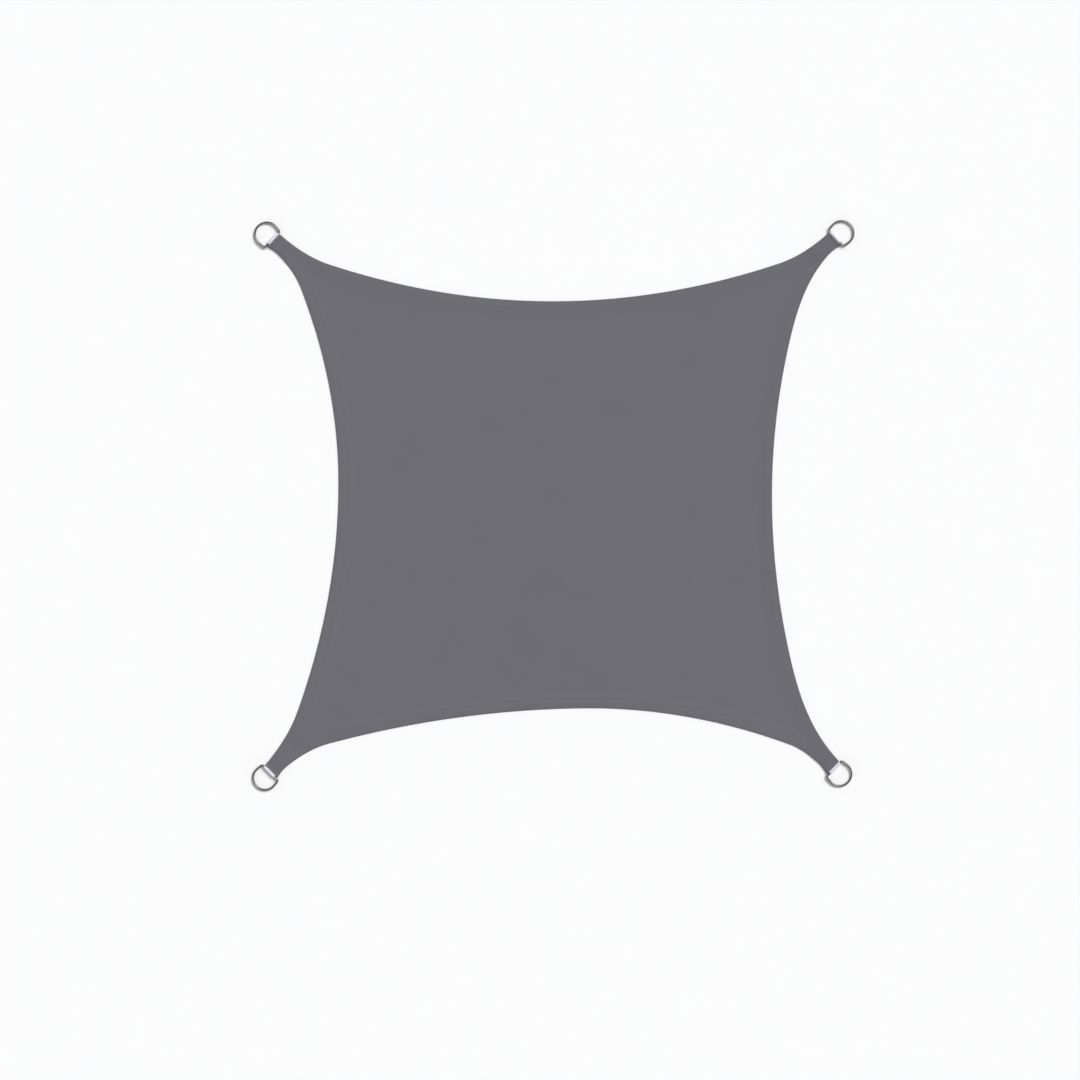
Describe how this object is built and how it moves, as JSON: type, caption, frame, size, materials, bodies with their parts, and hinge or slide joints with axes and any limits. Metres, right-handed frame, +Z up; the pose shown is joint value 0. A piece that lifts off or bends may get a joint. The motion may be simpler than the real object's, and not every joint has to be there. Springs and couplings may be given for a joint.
{
  "type": "shade sail",
  "caption": "Flat square cloth shade sail with hollow-cut hemmed sides and a steel D-ring held by a webbing loop at each corner neck.",
  "frame": {"origin": "on the surface that the sail lies on, under the middle of its overall box", "axes": "+X to the sail's right-hand side and +Y to its top side as the picture shows it face on, +Z up out of the cloth"},
  "size_m": [2.0483, 1.9407, 0.0131],
  "materials": {
    "sail_polyester": "matt plain weave, slate grey",
    "ring_steel": "polished stainless steel",
    "loop_webbing": "matt webbing, pale grey"
  },
  "bodies": {
    "root": {"sail_cloth": "sail_polyester", "ring_top_left": "ring_steel", "ring_top_right": "ring_steel", "ring_bottom_right": "ring_steel", "ring_bottom_left": "ring_steel", "loop_top_left": "loop_webbing", "loop_top_right": "loop_webbing", "loop_bottom_right": "loop_webbing", "loop_bottom_left": "loop_webbing"}
  },
  "joints": []
}
